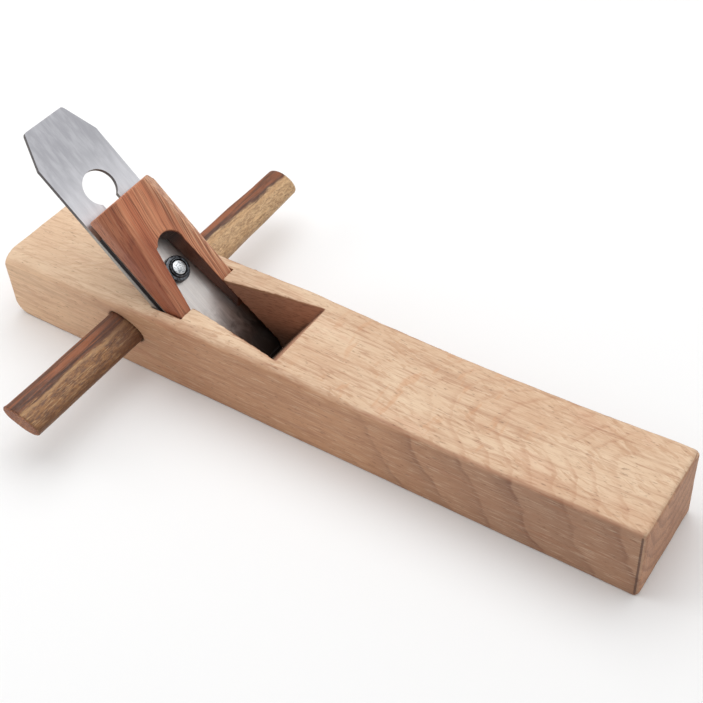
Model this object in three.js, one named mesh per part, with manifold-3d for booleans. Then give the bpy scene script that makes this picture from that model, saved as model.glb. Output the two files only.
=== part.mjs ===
// Wooden bench plane with a cross handle. A pale hardwood stock carries a steel iron on a sloping
// bed, a chip breaker is screwed to the iron, and a forked hardwood wedge holds both. An oval
// handle goes sideways through the stock behind the iron.
//
// Millimetres, +Z up. The origin is the middle of the sole, +X points to the toe and +Y to the
// left side. The iron group has its own frame: its X axis runs down the bed, its Z axis points
// out of the bed, and its origin is where the iron's upper face meets the sole.

import * as THREE from 'three';
import { ConvexGeometry } from 'three/addons/geometries/ConvexGeometry.js';
import { mergeVertices } from 'three/addons/utils/BufferGeometryUtils.js';
import Module from 'manifold-3d';

const wasm = await Module();
wasm.setup();

// ---- driving dimensions ----

const GAP = 0.3; // play between neighbouring pieces
const REACH = 30; // how far a cutter runs past the wood it cuts

// Stock
const LENGTH = 400;
const RIGHT_SIDE = -30; // its two sides; the bed is centred on y = 0
const LEFT_SIDE = 31.5;
const TOP_LINE = [[-200, 42.4], [-141, 44.6], [-61, 47.5], [9, 45.8], [94, 43.3], [149, 44.7], [200, 46]];
const RIGHT_ROLL = { width: 7, drop: 4.5 }; // rolled top edges, measured across the stock and downwards
const LEFT_ROLL = { width: 9, drop: 2 };
const HEEL_RADIUS = 8;
const TOE_RADIUS = 3;

// Bed, abutments and throat
const BED_ANGLE = Math.PI / 4;
const IRON_FOOT = -42.8; // x where the iron's upper face meets the sole
const MOUTH_FRONT = -39.8;
const MOUTH_HEIGHT = 5;
const THROAT_FRONT = -8.9; // x of the throat's front edge at its reference height
const THROAT_TOP = 46; // reference height for the throat's upper edges
const SLOT_HALF = 23.3; // half-width of the grooves that hold the iron and the wedge
const ABUTMENT_RISE = 12.6; // abutment above the iron's upper face, at the stock's top
const ABUTMENT_RUN = 53.3; // and how far up the bed that is
const WEDGE_ANGLE = THREE.MathUtils.degToRad(8);
const CHEEK_HALF = 13; // half-width between the cheeks at the abutments
const CHEEK_FLARE = 0.156; // widening towards the toe, per millimetre
const CHEEK_SPREAD = 0.08; // widening towards the mouth, per millimetre

// Iron
const IRON_THICK = 2.5;
const IRON_HALF = 23;
const IRON_TOP = 180; // distances up the bed, from the sole
const IRON_EDGE = 0.45;
const IRON_SHOULDER = 159.5;
const IRON_CROWN_HALF = 14.5;
const GRIND_ANGLE = THREE.MathUtils.degToRad(27);
const KEYHOLE_CENTRE = 134;
const KEYHOLE_RADIUS = 10.3;
const KEY_SLOT_HALF = 6;
const KEY_SLOT_END = 62;

// Chip breaker, its threaded bush and the cap screw
const BREAKER_THICK = 3;
const BREAKER_HALF = 22.5;
const BREAKER_EDGE = 2;
const BREAKER_TOP = 112;
const SCREW_PLACE = 74;
const BUSH_RADIUS = 8;
const SPIGOT_RADIUS = 6;
const SHANK_RADIUS = 4.7;
const HEAD_RADIUS = 8.7;
const HEAD_THICK = 3.4;
const BUSH_TOP = 8.5; // height of the bush above the iron's upper face
const RELIEF_HALF = 10.5; // groove in the bed for the screw's head
const RELIEF_DEPTH = 5;
const RELIEF_END = 48;

// Wedge
const WEDGE_HALF = 22.5;
const WEDGE_TOP = 123;
const WEDGE_TIP = 35;
const FORK_CENTRE = 85; // centre of the slot's round upper end
const FORK_RADIUS = 9.2;
const FORK_TAPER = 0.14; // widening towards the tips, per millimetre and side
const RIGHT_CHAMFER = 9; // width of the top edges' chamfers at the top end, where they are widest
const LEFT_CHAMFER = 12;

// Cross handle
const HANDLE_X = -108.5;
const HANDLE_Z = 29;
const HANDLE_HALF_WIDE = 11.9;
const HANDLE_HALF_THICK = 5.2;
const HANDLE_TILT = THREE.MathUtils.degToRad(-24);
const HANDLE_RIGHT = -114.5; // its two ends
const HANDLE_LEFT = 124.5;
const HANDLE_END_ROUND = 3;
const HANDLE_TAPER = 0.13; // how much narrower its left end is, taken off the lower edge

// ---- helpers ----

// A closed geometry as a solid that can be cut and joined.
function solidOf(geometry) {
  const bare = geometry.clone();
  bare.deleteAttribute('normal');
  bare.deleteAttribute('uv');
  const merged = mergeVertices(bare, 1e-4);
  return new wasm.Manifold(new wasm.Mesh({
    numProp: 3,
    vertProperties: new Float32Array(merged.attributes.position.array),
    triVerts: new Uint32Array(merged.index.array),
  }));
}

function geometryOf(solid) {
  const { vertProperties, triVerts } = solid.getMesh();
  const geometry = new THREE.BufferGeometry();
  geometry.setAttribute('position', new THREE.BufferAttribute(vertProperties, 3));
  geometry.setIndex(new THREE.BufferAttribute(triVerts, 1));
  geometry.computeVertexNormals();
  return geometry;
}

function piece(name, geometry, { color, roughness, metalness = 0 }) {
  const mesh = new THREE.Mesh(geometry, new THREE.MeshStandardMaterial({ color, roughness, metalness }));
  mesh.name = name;
  return mesh;
}

// An outline drawn in x and z, extruded across the plane and centred on y = 0.
function acrossWidth(outline, width, options = {}) {
  const geometry = new THREE.ExtrudeGeometry(outline, { depth: width, bevelEnabled: false, ...options });
  return geometry.translate(0, 0, -width / 2).rotateX(Math.PI / 2);
}

// An outline drawn in x and y, extruded from one height to another.
function upright(outline, low, high, curveSegments = 16) {
  const options = { depth: high - low, bevelEnabled: false, curveSegments };
  return new THREE.ExtrudeGeometry(outline, options).translate(0, 0, low);
}

// A turned piece about the z axis, from radius and height pairs.
function turned(profile, segments = 40) {
  const points = profile.map(([radius, height]) => new THREE.Vector2(radius, height));
  return new THREE.LatheGeometry(points, segments).rotateX(Math.PI / 2);
}

function polygon(points) {
  return new THREE.Shape(points.map(([x, y]) => new THREE.Vector2(x, y)));
}

// x and z in the stock's frame of a point `up` along the bed and `out` above the iron's upper face.
function onBed(up, out) {
  const cos = Math.cos(BED_ANGLE);
  const sin = Math.sin(BED_ANGLE);
  return [IRON_FOOT - up * cos + out * sin, up * sin + out * cos];
}

// x of a face parallel to the bed, `out` above the iron's upper face, at height z.
function bedX(z, out) {
  return IRON_FOOT + (out - z * Math.cos(BED_ANGLE)) / Math.sin(BED_ANGLE);
}

// Height of the abutment faces above the iron's upper face.
function abutment(up) {
  return ABUTMENT_RISE + Math.tan(WEDGE_ANGLE) * (up - ABUTMENT_RUN);
}

// ---- stock ----

function stockBlank() {
  const bottom = -REACH;
  const curve = new THREE.SplineCurve(TOP_LINE.map(([x, z]) => new THREE.Vector2(x, z)));
  const first = TOP_LINE[0];
  const last = TOP_LINE[TOP_LINE.length - 1];
  const side = polygon([
    [first[0] - REACH, bottom],
    [last[0] + REACH, bottom],
    [last[0] + REACH, last[1]],
    ...curve.getPoints(36).reverse().map((point) => [point.x, point.y]),
    [first[0] - REACH, first[1]],
  ]);
  const right = solidOf(rolledBar(side, RIGHT_SIDE, LEFT_SIDE + REACH, RIGHT_ROLL));
  const left = solidOf(rolledBar(side, RIGHT_SIDE - REACH, LEFT_SIDE, LEFT_ROLL));
  return right.intersect(left).intersect(solidOf(acrossWidth(endOutline(), 2 * (LEFT_SIDE + 1))));
}

// The side outline carried from one y to another, with both its ends rolled.
function rolledBar(side, from, to, roll) {
  const bar = acrossWidth(side, to - from - 2 * roll.width, {
    bevelEnabled: true,
    bevelThickness: roll.width,
    bevelSize: roll.drop,
    bevelOffset: -roll.drop,
    bevelSegments: 5,
  });
  return bar.translate(0, (from + to) / 2, 0);
}

// Side outline that only shapes the heel, the toe and the sole, and passes above the top.
function endOutline() {
  const heel = -LENGTH / 2;
  const toe = LENGTH / 2;
  const heelTop = TOP_LINE[0][1];
  const toeTop = TOP_LINE[TOP_LINE.length - 1][1];
  const outline = new THREE.Shape();
  outline.moveTo(heel + HEEL_RADIUS, 0);
  outline.lineTo(toe - TOE_RADIUS, 0);
  outline.absarc(toe - TOE_RADIUS, TOE_RADIUS, TOE_RADIUS, -Math.PI / 2, 0, false);
  outline.absarc(toe - TOE_RADIUS, toeTop - TOE_RADIUS, TOE_RADIUS, 0, Math.PI / 2, false);
  outline.lineTo(toe - TOE_RADIUS - REACH, toeTop + REACH);
  outline.lineTo(heel + HEEL_RADIUS + REACH, heelTop + REACH);
  outline.absarc(heel + TOE_RADIUS, heelTop - TOE_RADIUS, TOE_RADIUS, Math.PI / 2, Math.PI, false);
  outline.absarc(heel + HEEL_RADIUS, HEEL_RADIUS, HEEL_RADIUS, Math.PI, 1.5 * Math.PI, false);
  return outline;
}

// Room for the iron and the wedge: the mouth, and the grooves between the bed and the abutments.
function grooveCut() {
  const bed = -IRON_THICK - GAP;
  const far = ABUTMENT_RUN + REACH;
  const side = polygon([[bedX(-1, bed), -1], [MOUTH_FRONT, -1], [MOUTH_FRONT, MOUTH_HEIGHT],
    onBed(MOUTH_HEIGHT, abutment(MOUTH_HEIGHT)), onBed(far, abutment(far)), onBed(far, bed)]);
  return solidOf(acrossWidth(side, 2 * SLOT_HALF));
}

// The open throat in front of the wedge, narrowed by the cheeks.
function throatCut() {
  const bed = -IRON_THICK;
  const slope = (THROAT_FRONT - MOUTH_FRONT) / (THROAT_TOP - MOUTH_HEIGHT);
  const high = THROAT_TOP + REACH;
  const far = ABUTMENT_RUN + REACH;
  const side = polygon([[bedX(-1, bed), -1], [MOUTH_FRONT, -1], [MOUTH_FRONT, MOUTH_HEIGHT],
    [THROAT_FRONT + slope * REACH, high], onBed(far, abutment(far)), onBed(far, bed)]);
  return solidOf(acrossWidth(side, 2 * SLOT_HALF)).intersect(solidOf(cheekSpace()));
}

// The space between the two cheek faces, as one convex block.
function cheekSpace() {
  const back = onBed(ABUTMENT_RUN, ABUTMENT_RISE)[0];
  const corners = [];
  for (const x of [back - REACH, THROAT_FRONT + REACH]) {
    for (const z of [-REACH, THROAT_TOP + REACH]) {
      const half = CHEEK_HALF + CHEEK_FLARE * (x - back) + CHEEK_SPREAD * (THROAT_TOP - z);
      corners.push(new THREE.Vector3(x, -half, z), new THREE.Vector3(x, half, z));
    }
  }
  return new ConvexGeometry(corners);
}

// Groove in the bed that leaves room for the cap screw's head.
function reliefCut() {
  const high = -ABUTMENT_RUN - REACH;
  const outline = new THREE.Shape();
  outline.moveTo(high, -RELIEF_HALF);
  outline.lineTo(-RELIEF_END - RELIEF_HALF, -RELIEF_HALF);
  outline.absarc(-RELIEF_END - RELIEF_HALF, 0, RELIEF_HALF, -Math.PI / 2, Math.PI / 2, false);
  outline.lineTo(high, RELIEF_HALF);
  const floor = -IRON_THICK - GAP - RELIEF_DEPTH;
  const groove = upright(outline, floor, -IRON_THICK);
  return solidOf(groove.rotateY(BED_ANGLE).translate(IRON_FOOT, 0, 0));
}

// Oval section of the handle, or of its hole with some play. Its wide axis leans down to the toe.
function handleOutline(play) {
  const wide = HANDLE_HALF_WIDE + play;
  const thick = HANDLE_HALF_THICK + play;
  const oval = new THREE.EllipseCurve(0, 0, wide, thick, 0, 2 * Math.PI, false, HANDLE_TILT);
  return new THREE.Shape(oval.getPoints(48).slice(1));
}

function handleHole() {
  const hole = acrossWidth(handleOutline(GAP), 2 * (LEFT_SIDE + 1));
  return solidOf(hole.translate(HANDLE_X, 0, HANDLE_Z));
}

function makeStock() {
  const cuts = [grooveCut(), throatCut(), reliefCut(), handleHole()];
  const stock = cuts.reduce((wood, cut) => wood.subtract(cut), stockBlank());
  return piece('stock', geometryOf(stock), { color: 0xd2b08a, roughness: 0.6 });
}

// ---- cross handle ----

function makeHandle() {
  const ends = {
    bevelEnabled: true,
    bevelThickness: HANDLE_END_ROUND,
    bevelSize: HANDLE_END_ROUND / 2,
    bevelOffset: -HANDLE_END_ROUND / 2,
    bevelSegments: 3,
  };
  const length = HANDLE_LEFT - HANDLE_RIGHT;
  const stick = acrossWidth(handleOutline(0), length - 2 * HANDLE_END_ROUND, { ...ends, steps: 12 });
  stick.translate(0, (HANDLE_LEFT + HANDLE_RIGHT) / 2, 0);
  taperLeftEnd(stick);
  const handle = piece('cross_handle', stick, { color: 0x9a6a45, roughness: 0.5 });
  handle.position.set(HANDLE_X, 0, HANDLE_Z);
  return handle;
}

// Draws the lower edge in towards the upper one, from the stock's left side to the end.
function taperLeftEnd(stick) {
  const point = new THREE.Vector3();
  const wide = new THREE.Vector3(Math.cos(HANDLE_TILT), 0, Math.sin(HANDLE_TILT));
  const { position } = stick.attributes;
  for (let i = 0; i < position.count; i += 1) {
    point.fromBufferAttribute(position, i);
    const along = THREE.MathUtils.clamp((point.y - LEFT_SIDE) / (HANDLE_LEFT - LEFT_SIDE), 0, 1);
    const fromUpperEdge = point.dot(wide) + HANDLE_HALF_WIDE;
    point.addScaledVector(wide, -HANDLE_TAPER * along * fromUpperEdge);
    position.setXYZ(i, point.x, point.y, point.z);
  }
}

// ---- iron ----

function keyhole() {
  const cut = new THREE.Path();
  const meet = Math.asin(KEY_SLOT_HALF / KEYHOLE_RADIUS);
  const end = -KEY_SLOT_END - KEY_SLOT_HALF;
  cut.absarc(-KEYHOLE_CENTRE, 0, KEYHOLE_RADIUS, meet, 2 * Math.PI - meet, false);
  cut.absarc(end, 0, KEY_SLOT_HALF, -Math.PI / 2, Math.PI / 2, false);
  cut.closePath();
  return cut;
}

function makeIron() {
  const outline = polygon([
    [-IRON_EDGE, -IRON_HALF],
    [-IRON_EDGE, IRON_HALF],
    [-IRON_SHOULDER, IRON_HALF],
    [-IRON_TOP, IRON_CROWN_HALF],
    [-IRON_TOP, -IRON_CROWN_HALF],
    [-IRON_SHOULDER, -IRON_HALF],
  ]);
  outline.holes.push(keyhole());
  const plate = solidOf(upright(outline, -IRON_THICK, 0));
  const grindLength = IRON_THICK / Math.tan(GRIND_ANGLE);
  const grind = polygon([
    [-IRON_EDGE, 0],
    [-IRON_EDGE - 2 * grindLength, -2 * IRON_THICK],
    [1, -2 * IRON_THICK],
    [1, 0],
  ]);
  const iron = plate.subtract(solidOf(acrossWidth(grind, 2 * IRON_HALF + 2)));
  return piece('iron', geometryOf(iron), { color: 0xb9bbbe, roughness: 0.35, metalness: 1 });
}

// ---- chip breaker, bush and cap screw ----

function makeBreaker() {
  const top = GAP + BREAKER_THICK;
  const side = new THREE.Shape();
  side.moveTo(-BREAKER_TOP, GAP);
  side.lineTo(-BREAKER_EDGE, GAP);
  side.quadraticCurveTo(-BREAKER_EDGE - 3, top, -BREAKER_EDGE - 12, top);
  side.lineTo(-BREAKER_TOP, top);
  const plate = solidOf(acrossWidth(side, 2 * BREAKER_HALF));
  const hole = turned([[0, -1], [SPIGOT_RADIUS + GAP, -1], [SPIGOT_RADIUS + GAP, top + 1], [0, top + 1]]);
  const breaker = plate.subtract(solidOf(hole.translate(-SCREW_PLACE, 0, 0)));
  return piece('chip_breaker', geometryOf(breaker), { color: 0xc4c2be, roughness: 0.4, metalness: 1 });
}

function makeBush() {
  const seat = 2 * GAP + BREAKER_THICK;
  const bore = SHANK_RADIUS + GAP;
  const profile = [[bore, GAP], [SPIGOT_RADIUS, GAP], [SPIGOT_RADIUS, seat], [BUSH_RADIUS, seat],
    [BUSH_RADIUS, BUSH_TOP - 2.1], [BUSH_RADIUS - 1, BUSH_TOP - 1.1], [BUSH_RADIUS - 2, BUSH_TOP - 1.1],
    [BUSH_RADIUS - 2.4, BUSH_TOP], [bore, BUSH_TOP], [bore, GAP]];
  const bush = piece('threaded_bush', turned(profile), { color: 0x1c1c1f, roughness: 0.4, metalness: 0.8 });
  bush.position.x = -SCREW_PLACE;
  return bush;
}

function makeScrew() {
  const seat = -IRON_THICK - GAP;
  const bottom = seat - HEAD_THICK;
  const tip = BUSH_TOP + 0.2;
  const turning = turned([[0, bottom], [HEAD_RADIUS - 0.6, bottom], [HEAD_RADIUS, bottom + 0.6],
    [HEAD_RADIUS, seat], [SHANK_RADIUS, seat], [SHANK_RADIUS, tip - 0.5], [SHANK_RADIUS - 0.5, tip], [0, tip]]);
  const driverSlot = new THREE.BoxGeometry(2 * HEAD_RADIUS + 2, 2, 3.2).translate(0, 0, bottom);
  const screw = solidOf(turning).subtract(solidOf(driverSlot));
  const mesh = piece('cap_screw', geometryOf(screw), { color: 0xd8d8da, roughness: 0.25, metalness: 1 });
  mesh.position.x = -SCREW_PLACE;
  return mesh;
}

// ---- wedge ----

// The forked slot, open at the tips.
function forkCut() {
  const far = -WEDGE_TIP + REACH;
  const farHalf = FORK_RADIUS + FORK_TAPER * (FORK_CENTRE + far);
  const outline = new THREE.Shape();
  outline.absarc(-FORK_CENTRE, 0, FORK_RADIUS, Math.PI / 2, 1.5 * Math.PI, false);
  outline.lineTo(far, -farHalf);
  outline.lineTo(far, farHalf);
  return solidOf(upright(outline, 0, 2 * REACH));
}

// One long chamfer, which starts at nothing at the abutment and leaves the side face's height even.
function chamferCut(side, width) {
  const end = WEDGE_TOP + 4;
  const thick = abutment(end) - GAP;
  const rise = abutment(ABUTMENT_RUN) - GAP;
  return solidOf(new ConvexGeometry([
    new THREE.Vector3(-ABUTMENT_RUN, side * WEDGE_HALF, rise),
    new THREE.Vector3(-end, side * WEDGE_HALF, rise),
    new THREE.Vector3(-end, side * (WEDGE_HALF - width), thick),
    new THREE.Vector3(-end, side * (WEDGE_HALF + 2), thick + 2),
  ]));
}

function makeWedge() {
  const under = 2 * GAP + BREAKER_THICK;
  const thickAt = (up) => abutment(up) - GAP;
  const side = polygon([
    [-WEDGE_TIP, under],
    [-WEDGE_TIP - 5, thickAt(WEDGE_TIP + 5)],
    [-WEDGE_TOP - 0.5, thickAt(WEDGE_TOP + 0.5)],
    [-WEDGE_TOP, under],
  ]);
  const cuts = [forkCut(), chamferCut(-1, RIGHT_CHAMFER), chamferCut(1, LEFT_CHAMFER)];
  const block = solidOf(acrossWidth(side, 2 * WEDGE_HALF));
  const wedge = cuts.reduce((wood, cut) => wood.subtract(cut), block);
  return piece('wedge', geometryOf(wedge), { color: 0xa8633f, roughness: 0.5 });
}

// ---- assembly ----

const ironGroup = new THREE.Group();
ironGroup.position.x = IRON_FOOT;
ironGroup.rotation.y = BED_ANGLE;
ironGroup.add(makeIron(), makeBreaker(), makeBush(), makeScrew(), makeWedge());

const plane = new THREE.Group();
plane.add(makeStock(), makeHandle(), ironGroup);

export default plane;
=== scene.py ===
# Looks for the wooden bench plane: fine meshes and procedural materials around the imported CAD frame.
#
# Geometry is worked out in millimetres in the row frame: +X to the toe, +Y to the left side, +Z up
# from the sole. Pieces on the bed have a frame of their own, with -X up the bed, +Z out of it and the
# origin where the iron's upper face meets the sole.

import math

import bmesh
import bpy
import numpy as np
from mathutils import Matrix, Vector


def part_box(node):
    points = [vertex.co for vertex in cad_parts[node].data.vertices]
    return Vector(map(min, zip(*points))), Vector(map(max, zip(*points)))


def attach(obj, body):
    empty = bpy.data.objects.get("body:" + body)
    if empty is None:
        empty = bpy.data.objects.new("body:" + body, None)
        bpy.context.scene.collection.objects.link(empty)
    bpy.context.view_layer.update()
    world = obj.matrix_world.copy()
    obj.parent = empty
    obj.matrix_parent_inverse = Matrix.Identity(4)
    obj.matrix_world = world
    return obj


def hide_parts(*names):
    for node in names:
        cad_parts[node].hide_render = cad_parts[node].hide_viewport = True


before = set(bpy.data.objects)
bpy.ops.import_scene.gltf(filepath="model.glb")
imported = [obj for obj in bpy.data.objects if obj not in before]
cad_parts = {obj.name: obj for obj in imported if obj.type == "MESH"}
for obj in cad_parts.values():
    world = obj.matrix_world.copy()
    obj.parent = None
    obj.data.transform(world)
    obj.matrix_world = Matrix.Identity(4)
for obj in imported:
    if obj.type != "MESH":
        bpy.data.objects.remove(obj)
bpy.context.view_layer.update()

MM = 0.001

# ---- dimensions, in millimetres where they aren't angles or ratios ----


def box_mm(node):
    low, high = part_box(node)
    return low / MM, high / MM


STOCK_LOW, STOCK_HIGH = box_mm("stock")
HEEL = STOCK_LOW.x
TOE = STOCK_HIGH.x
RIGHT_SIDE = STOCK_LOW.y
LEFT_SIDE = STOCK_HIGH.y
TOP_LINE = ((-200, 42.4), (-141, 44.6), (-61, 47.5), (9, 45.8), (94, 43.3), (149, 44.7), (200, 46))
RIGHT_ROLL_WIDTH = ((-200, 13), (-60, 10), (40, 6.5), (200, 4))  # of the rolled top edge, along the stock
RIGHT_ROLL_DROP = ((-200, 6.5), (-60, 5.5), (40, 4), (200, 3))
LEFT_ROLL_WIDTH = 10
LEFT_ROLL_DROP = 2.6
HEEL_RADIUS = 8
TOE_RADIUS = 3
TOE_CHAMFER = 1.2
STOCK_UNEVEN = 0.12  # height of the surface's slow ripple
STOCK_CELL = 1.0  # of the grid that the mesh is made from

BED_ANGLE = math.pi / 4
IRON_FOOT = -42.8
MOUTH_FRONT = -39.8
MOUTH_HEIGHT = 5
THROAT_FRONT = -8.9
THROAT_TOP = 46
SLOT_HALF = 23.3
ABUTMENT_RISE = 12.6
ABUTMENT_RUN = 53.3
WEDGE_SLOPE = math.tan(math.radians(8))
CHEEK_HALF = 13
CHEEK_FLARE = 0.156
CHEEK_SPREAD = 0.08
GAP = 0.3  # between pieces that slide on each other
CUT_EDGE = 0.5  # radius of the edges left by a saw or chisel

IRON_THICK = 2.5
IRON_HALF = 23
IRON_TOP = 180
IRON_EDGE = 0.45
IRON_SHOULDER = 159.5
IRON_CROWN_HALF = 14.5
IRON_CORNER = 2.2
GRIND_ANGLE = math.radians(27)
KEYHOLE_CENTRE = 134
KEYHOLE_RADIUS = 10.3
KEY_SLOT_HALF = 6
KEY_SLOT_END = 62

BREAKER_THICK = 3
BREAKER_HALF = 22.5
BREAKER_EDGE = 2
BREAKER_TOP = 112
HUMP_LENGTH = 12  # over which the plate curves down to its edge
SCREW_PLACE = 74
BUSH_RADIUS = 7.6  # the CAD's is 8
BUSH_TOP = 8.5
SPIGOT_RADIUS = 6
SHANK_RADIUS = 4.7
THREAD_DEPTH = 0.45
THREAD_PITCH = 1.25
HEAD_RADIUS = 8.7
HEAD_THICK = 3.4
DRIVE_HALF = 1  # half the width of the slot in the screw's head
DRIVE_DEPTH = 1.6
SCREW_PROUD = 0.2
TURNED_SEGMENTS = 64
RELIEF_HALF = 10.5
RELIEF_DEPTH = 5
RELIEF_END = 48

WEDGE_HALF = 22.5
WEDGE_TOP = 123
WEDGE_TIP = 35
FORK_CENTRE = 85
FORK_RADIUS = 9.2
FORK_TAPER = 0.14
FORK_OFFSET = -0.4  # of the sawn legs from the hole's middle
FORK_STEP = 0.2  # by which they are wider than the hole
FORK_OVERLAP = 5
RIGHT_CHAMFER = 9
LEFT_CHAMFER = 12
BUTT_SLANT = 0.02
WEDGE_UNEVEN = 0.07
BROKEN_CORNER = 3
WEDGE_CELL = 0.6

HANDLE_X = -108.5
HANDLE_Z = 29
HANDLE_HALF_WIDE = 11.9
HANDLE_HALF_THICK = 5.2
HANDLE_TILT = math.radians(-24)
HANDLE_TAPER = 0.13
HANDLE_SHRINK = 0.12  # leaves room for the unevenness
HANDLE_SQUARENESS = 2.3  # power of the oval: 2 is an ellipse
RIGHT_END_RADIUS = 1
LEFT_END_RADIUS = 4.5
BURR_HEIGHT = 0.36
BURR_LENGTH = 2.2
HANDLE_CELL = 0.8
HANDLE_LOW, HANDLE_HIGH = box_mm("cross_handle")
HANDLE_RIGHT = HANDLE_LOW.y
HANDLE_LEFT = HANDLE_HIGH.y

BED_FRAME = Matrix.Translation((IRON_FOOT * MM, 0, 0)) @ Matrix.Rotation(BED_ANGLE, 4, "Y")

# ---- solids as fields: negative inside, about the distance to the surface outside ----
#
# The last number given to rounded_max is the radius of the edge that it rounds.


def rounded_max(a, b, radius):
    """What two solids share, with the edge between them rounded."""
    edge = np.hypot(np.maximum(a + radius, 0), np.maximum(b + radius, 0))
    return np.minimum(np.maximum(a, b), -radius) + edge


def rolled(a, b, drop, width):
    """What two solids share, with an elliptical edge: `drop` deep from a and `width` wide from b."""
    u = np.maximum(a + drop, 0) / drop
    v = np.maximum(b + width, 0) / width
    oval = (np.hypot(u, v) - 1) * np.minimum(drop, width)
    return np.where((u > 0) & (v > 0), oval, np.maximum(a, b))


def along_line(x, points):
    """Height at x of a smooth line through the points."""
    xs, ys = np.array(points, float).T
    slopes = np.gradient(ys, xs)
    i = np.clip(np.searchsorted(xs, x) - 1, 0, len(xs) - 2)
    width = xs[i + 1] - xs[i]
    t = (x - xs[i]) / width
    rise = ys[i] * (1 + 2 * t) * (1 - t) ** 2 + ys[i + 1] * t * t * (3 - 2 * t)
    return rise + width * (slopes[i] * t * (1 - t) ** 2 + slopes[i + 1] * t * t * (t - 1))


def ripple(x, y, z, lengths, seed):
    """Smooth uneven field between about -1 and 1, with a typical wavelength along each axis."""
    rng = np.random.default_rng(seed)
    total = np.zeros(np.broadcast(x, y, z).shape)
    waves = 7
    for _ in range(waves):
        kx, ky, kz = 2 * math.pi * rng.uniform(0.5, 1.4, 3) * rng.choice((-1, 1), 3) / np.array(lengths)
        total += np.sin(kx * x + ky * y + kz * z + rng.uniform(0, 2 * math.pi))
    return total * 1.5 / waves


def on_bed(x, z):
    """Distance up the bed, and out from the iron's upper face."""
    cos, sin = math.cos(BED_ANGLE), math.sin(BED_ANGLE)
    return z * sin - (x - IRON_FOOT) * cos, (x - IRON_FOOT) * sin + z * cos


def abutment(up):
    """How far the abutments lie out from the iron's upper face, that far up the bed."""
    return ABUTMENT_RISE + WEDGE_SLOPE * (up - ABUTMENT_RUN)


def handle_oval(x, z, y, play):
    """The handle's oval section, narrower towards its left end."""
    cos, sin = math.cos(HANDLE_TILT), math.sin(HANDLE_TILT)
    wide = (x - HANDLE_X) * cos + (z - HANDLE_Z) * sin
    thick = (z - HANDLE_Z) * cos - (x - HANDLE_X) * sin
    taper = HANDLE_TAPER * np.clip((y - LEFT_SIDE) / (HANDLE_LEFT - LEFT_SIDE), 0, 1)
    middle = -HANDLE_HALF_WIDE * taper
    half_wide = HANDLE_HALF_WIDE * (1 - taper) + play
    half_thick = HANDLE_HALF_THICK + play
    wide_part = np.abs((wide - middle) / half_wide) ** HANDLE_SQUARENESS
    thick_part = np.abs(thick / half_thick) ** HANDLE_SQUARENESS
    return ((wide_part + thick_part) ** (1 / HANDLE_SQUARENESS) - 1) * half_thick


def throat_space(x, y, z):
    """Everything cut from the stock above its bed: the grooves, the mouth and the open throat."""
    up, out = on_bed(x, z)
    above_bed = -(out + IRON_THICK + GAP)
    between_grooves = np.abs(y) - SLOT_HALF
    groove = np.maximum.reduce([above_bed, out - abutment(up), between_grooves, x - MOUTH_FRONT])
    slope = (THROAT_FRONT - MOUTH_FRONT) / (THROAT_TOP - MOUTH_HEIGHT)
    front = (x - MOUTH_FRONT - slope * np.maximum(z - MOUTH_HEIGHT, 0)) * math.cos(math.atan(slope))
    back = IRON_FOOT - ABUTMENT_RUN * math.cos(BED_ANGLE) + ABUTMENT_RISE * math.sin(BED_ANGLE)
    cheek_half = CHEEK_HALF + CHEEK_FLARE * (x - back) + CHEEK_SPREAD * (THROAT_TOP - z)
    cheeks = np.abs(y) - np.minimum(cheek_half, SLOT_HALF)
    throat = np.maximum.reduce([above_bed, rounded_max(front, cheeks, 0.8)])
    return np.minimum(groove, throat)


def relief_space(x, y, z):
    """Groove in the bed for the cap screw's head."""
    up, out = on_bed(x, z)
    side = np.hypot(np.minimum(up - RELIEF_END - RELIEF_HALF, 0), y) - RELIEF_HALF
    floor = -(out + IRON_THICK + GAP + RELIEF_DEPTH)
    return np.maximum.reduce([side, floor, out])


def stock_field(x, y, z):
    """The stock, a little uneven but never outside its box."""
    top = z - along_line(x, TOP_LINE)
    right = RIGHT_SIDE - y
    left = y - LEFT_SIDE
    body = rolled(top, right, along_line(x, RIGHT_ROLL_DROP), along_line(x, RIGHT_ROLL_WIDTH))
    body = rounded_max(body, rolled(top, left, LEFT_ROLL_DROP, LEFT_ROLL_WIDTH), 0.8)
    body = rounded_max(body, rounded_max(-z, HEEL - x, HEEL_RADIUS), 1)
    body = rounded_max(body, x - TOE, TOE_RADIUS)
    corner = (right + x - TOE) * math.sqrt(0.5) + TOE_CHAMFER
    body = rounded_max(body, corner, 0.4)
    slow = STOCK_UNEVEN * ripple(x, y, z, (90, 30, 30), 1)
    body = body + slow + 0.05 * ripple(x, y, z, (22, 9, 9), 2) + STOCK_UNEVEN
    body = np.maximum.reduce([body, -z, right, left, HEEL - x, x - TOE])
    for space in (throat_space(x, y, z), relief_space(x, y, z), handle_oval(x, z, 0 * y, GAP)):
        body = rounded_max(body, -space, CUT_EDGE)
    return body


def handle_field(x, y, z):
    """The handle, with a small rim raised round part of its right end."""
    section = handle_oval(x, z, y, 0)
    near_end = np.exp(-((y - HANDLE_RIGHT) / BURR_LENGTH) ** 2)
    uneven = 0.1 * ripple(x, y, z, (24, 110, 18), 3) + 0.06 * ripple(x, y, z, (8, 30, 8), 4)
    uneven = uneven * (1 - near_end)
    burr = BURR_HEIGHT * near_end * np.clip((HANDLE_X - 6 - x) / 5, 0, 1)
    right = HANDLE_RIGHT + 0.5 - y + 0.06 * (x - HANDLE_X + 10)
    left = y - HANDLE_LEFT + 0.1
    stick = rounded_max(section + uneven + HANDLE_SHRINK - burr, right, RIGHT_END_RADIUS)
    return rounded_max(stick, left, LEFT_END_RADIUS)


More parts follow.
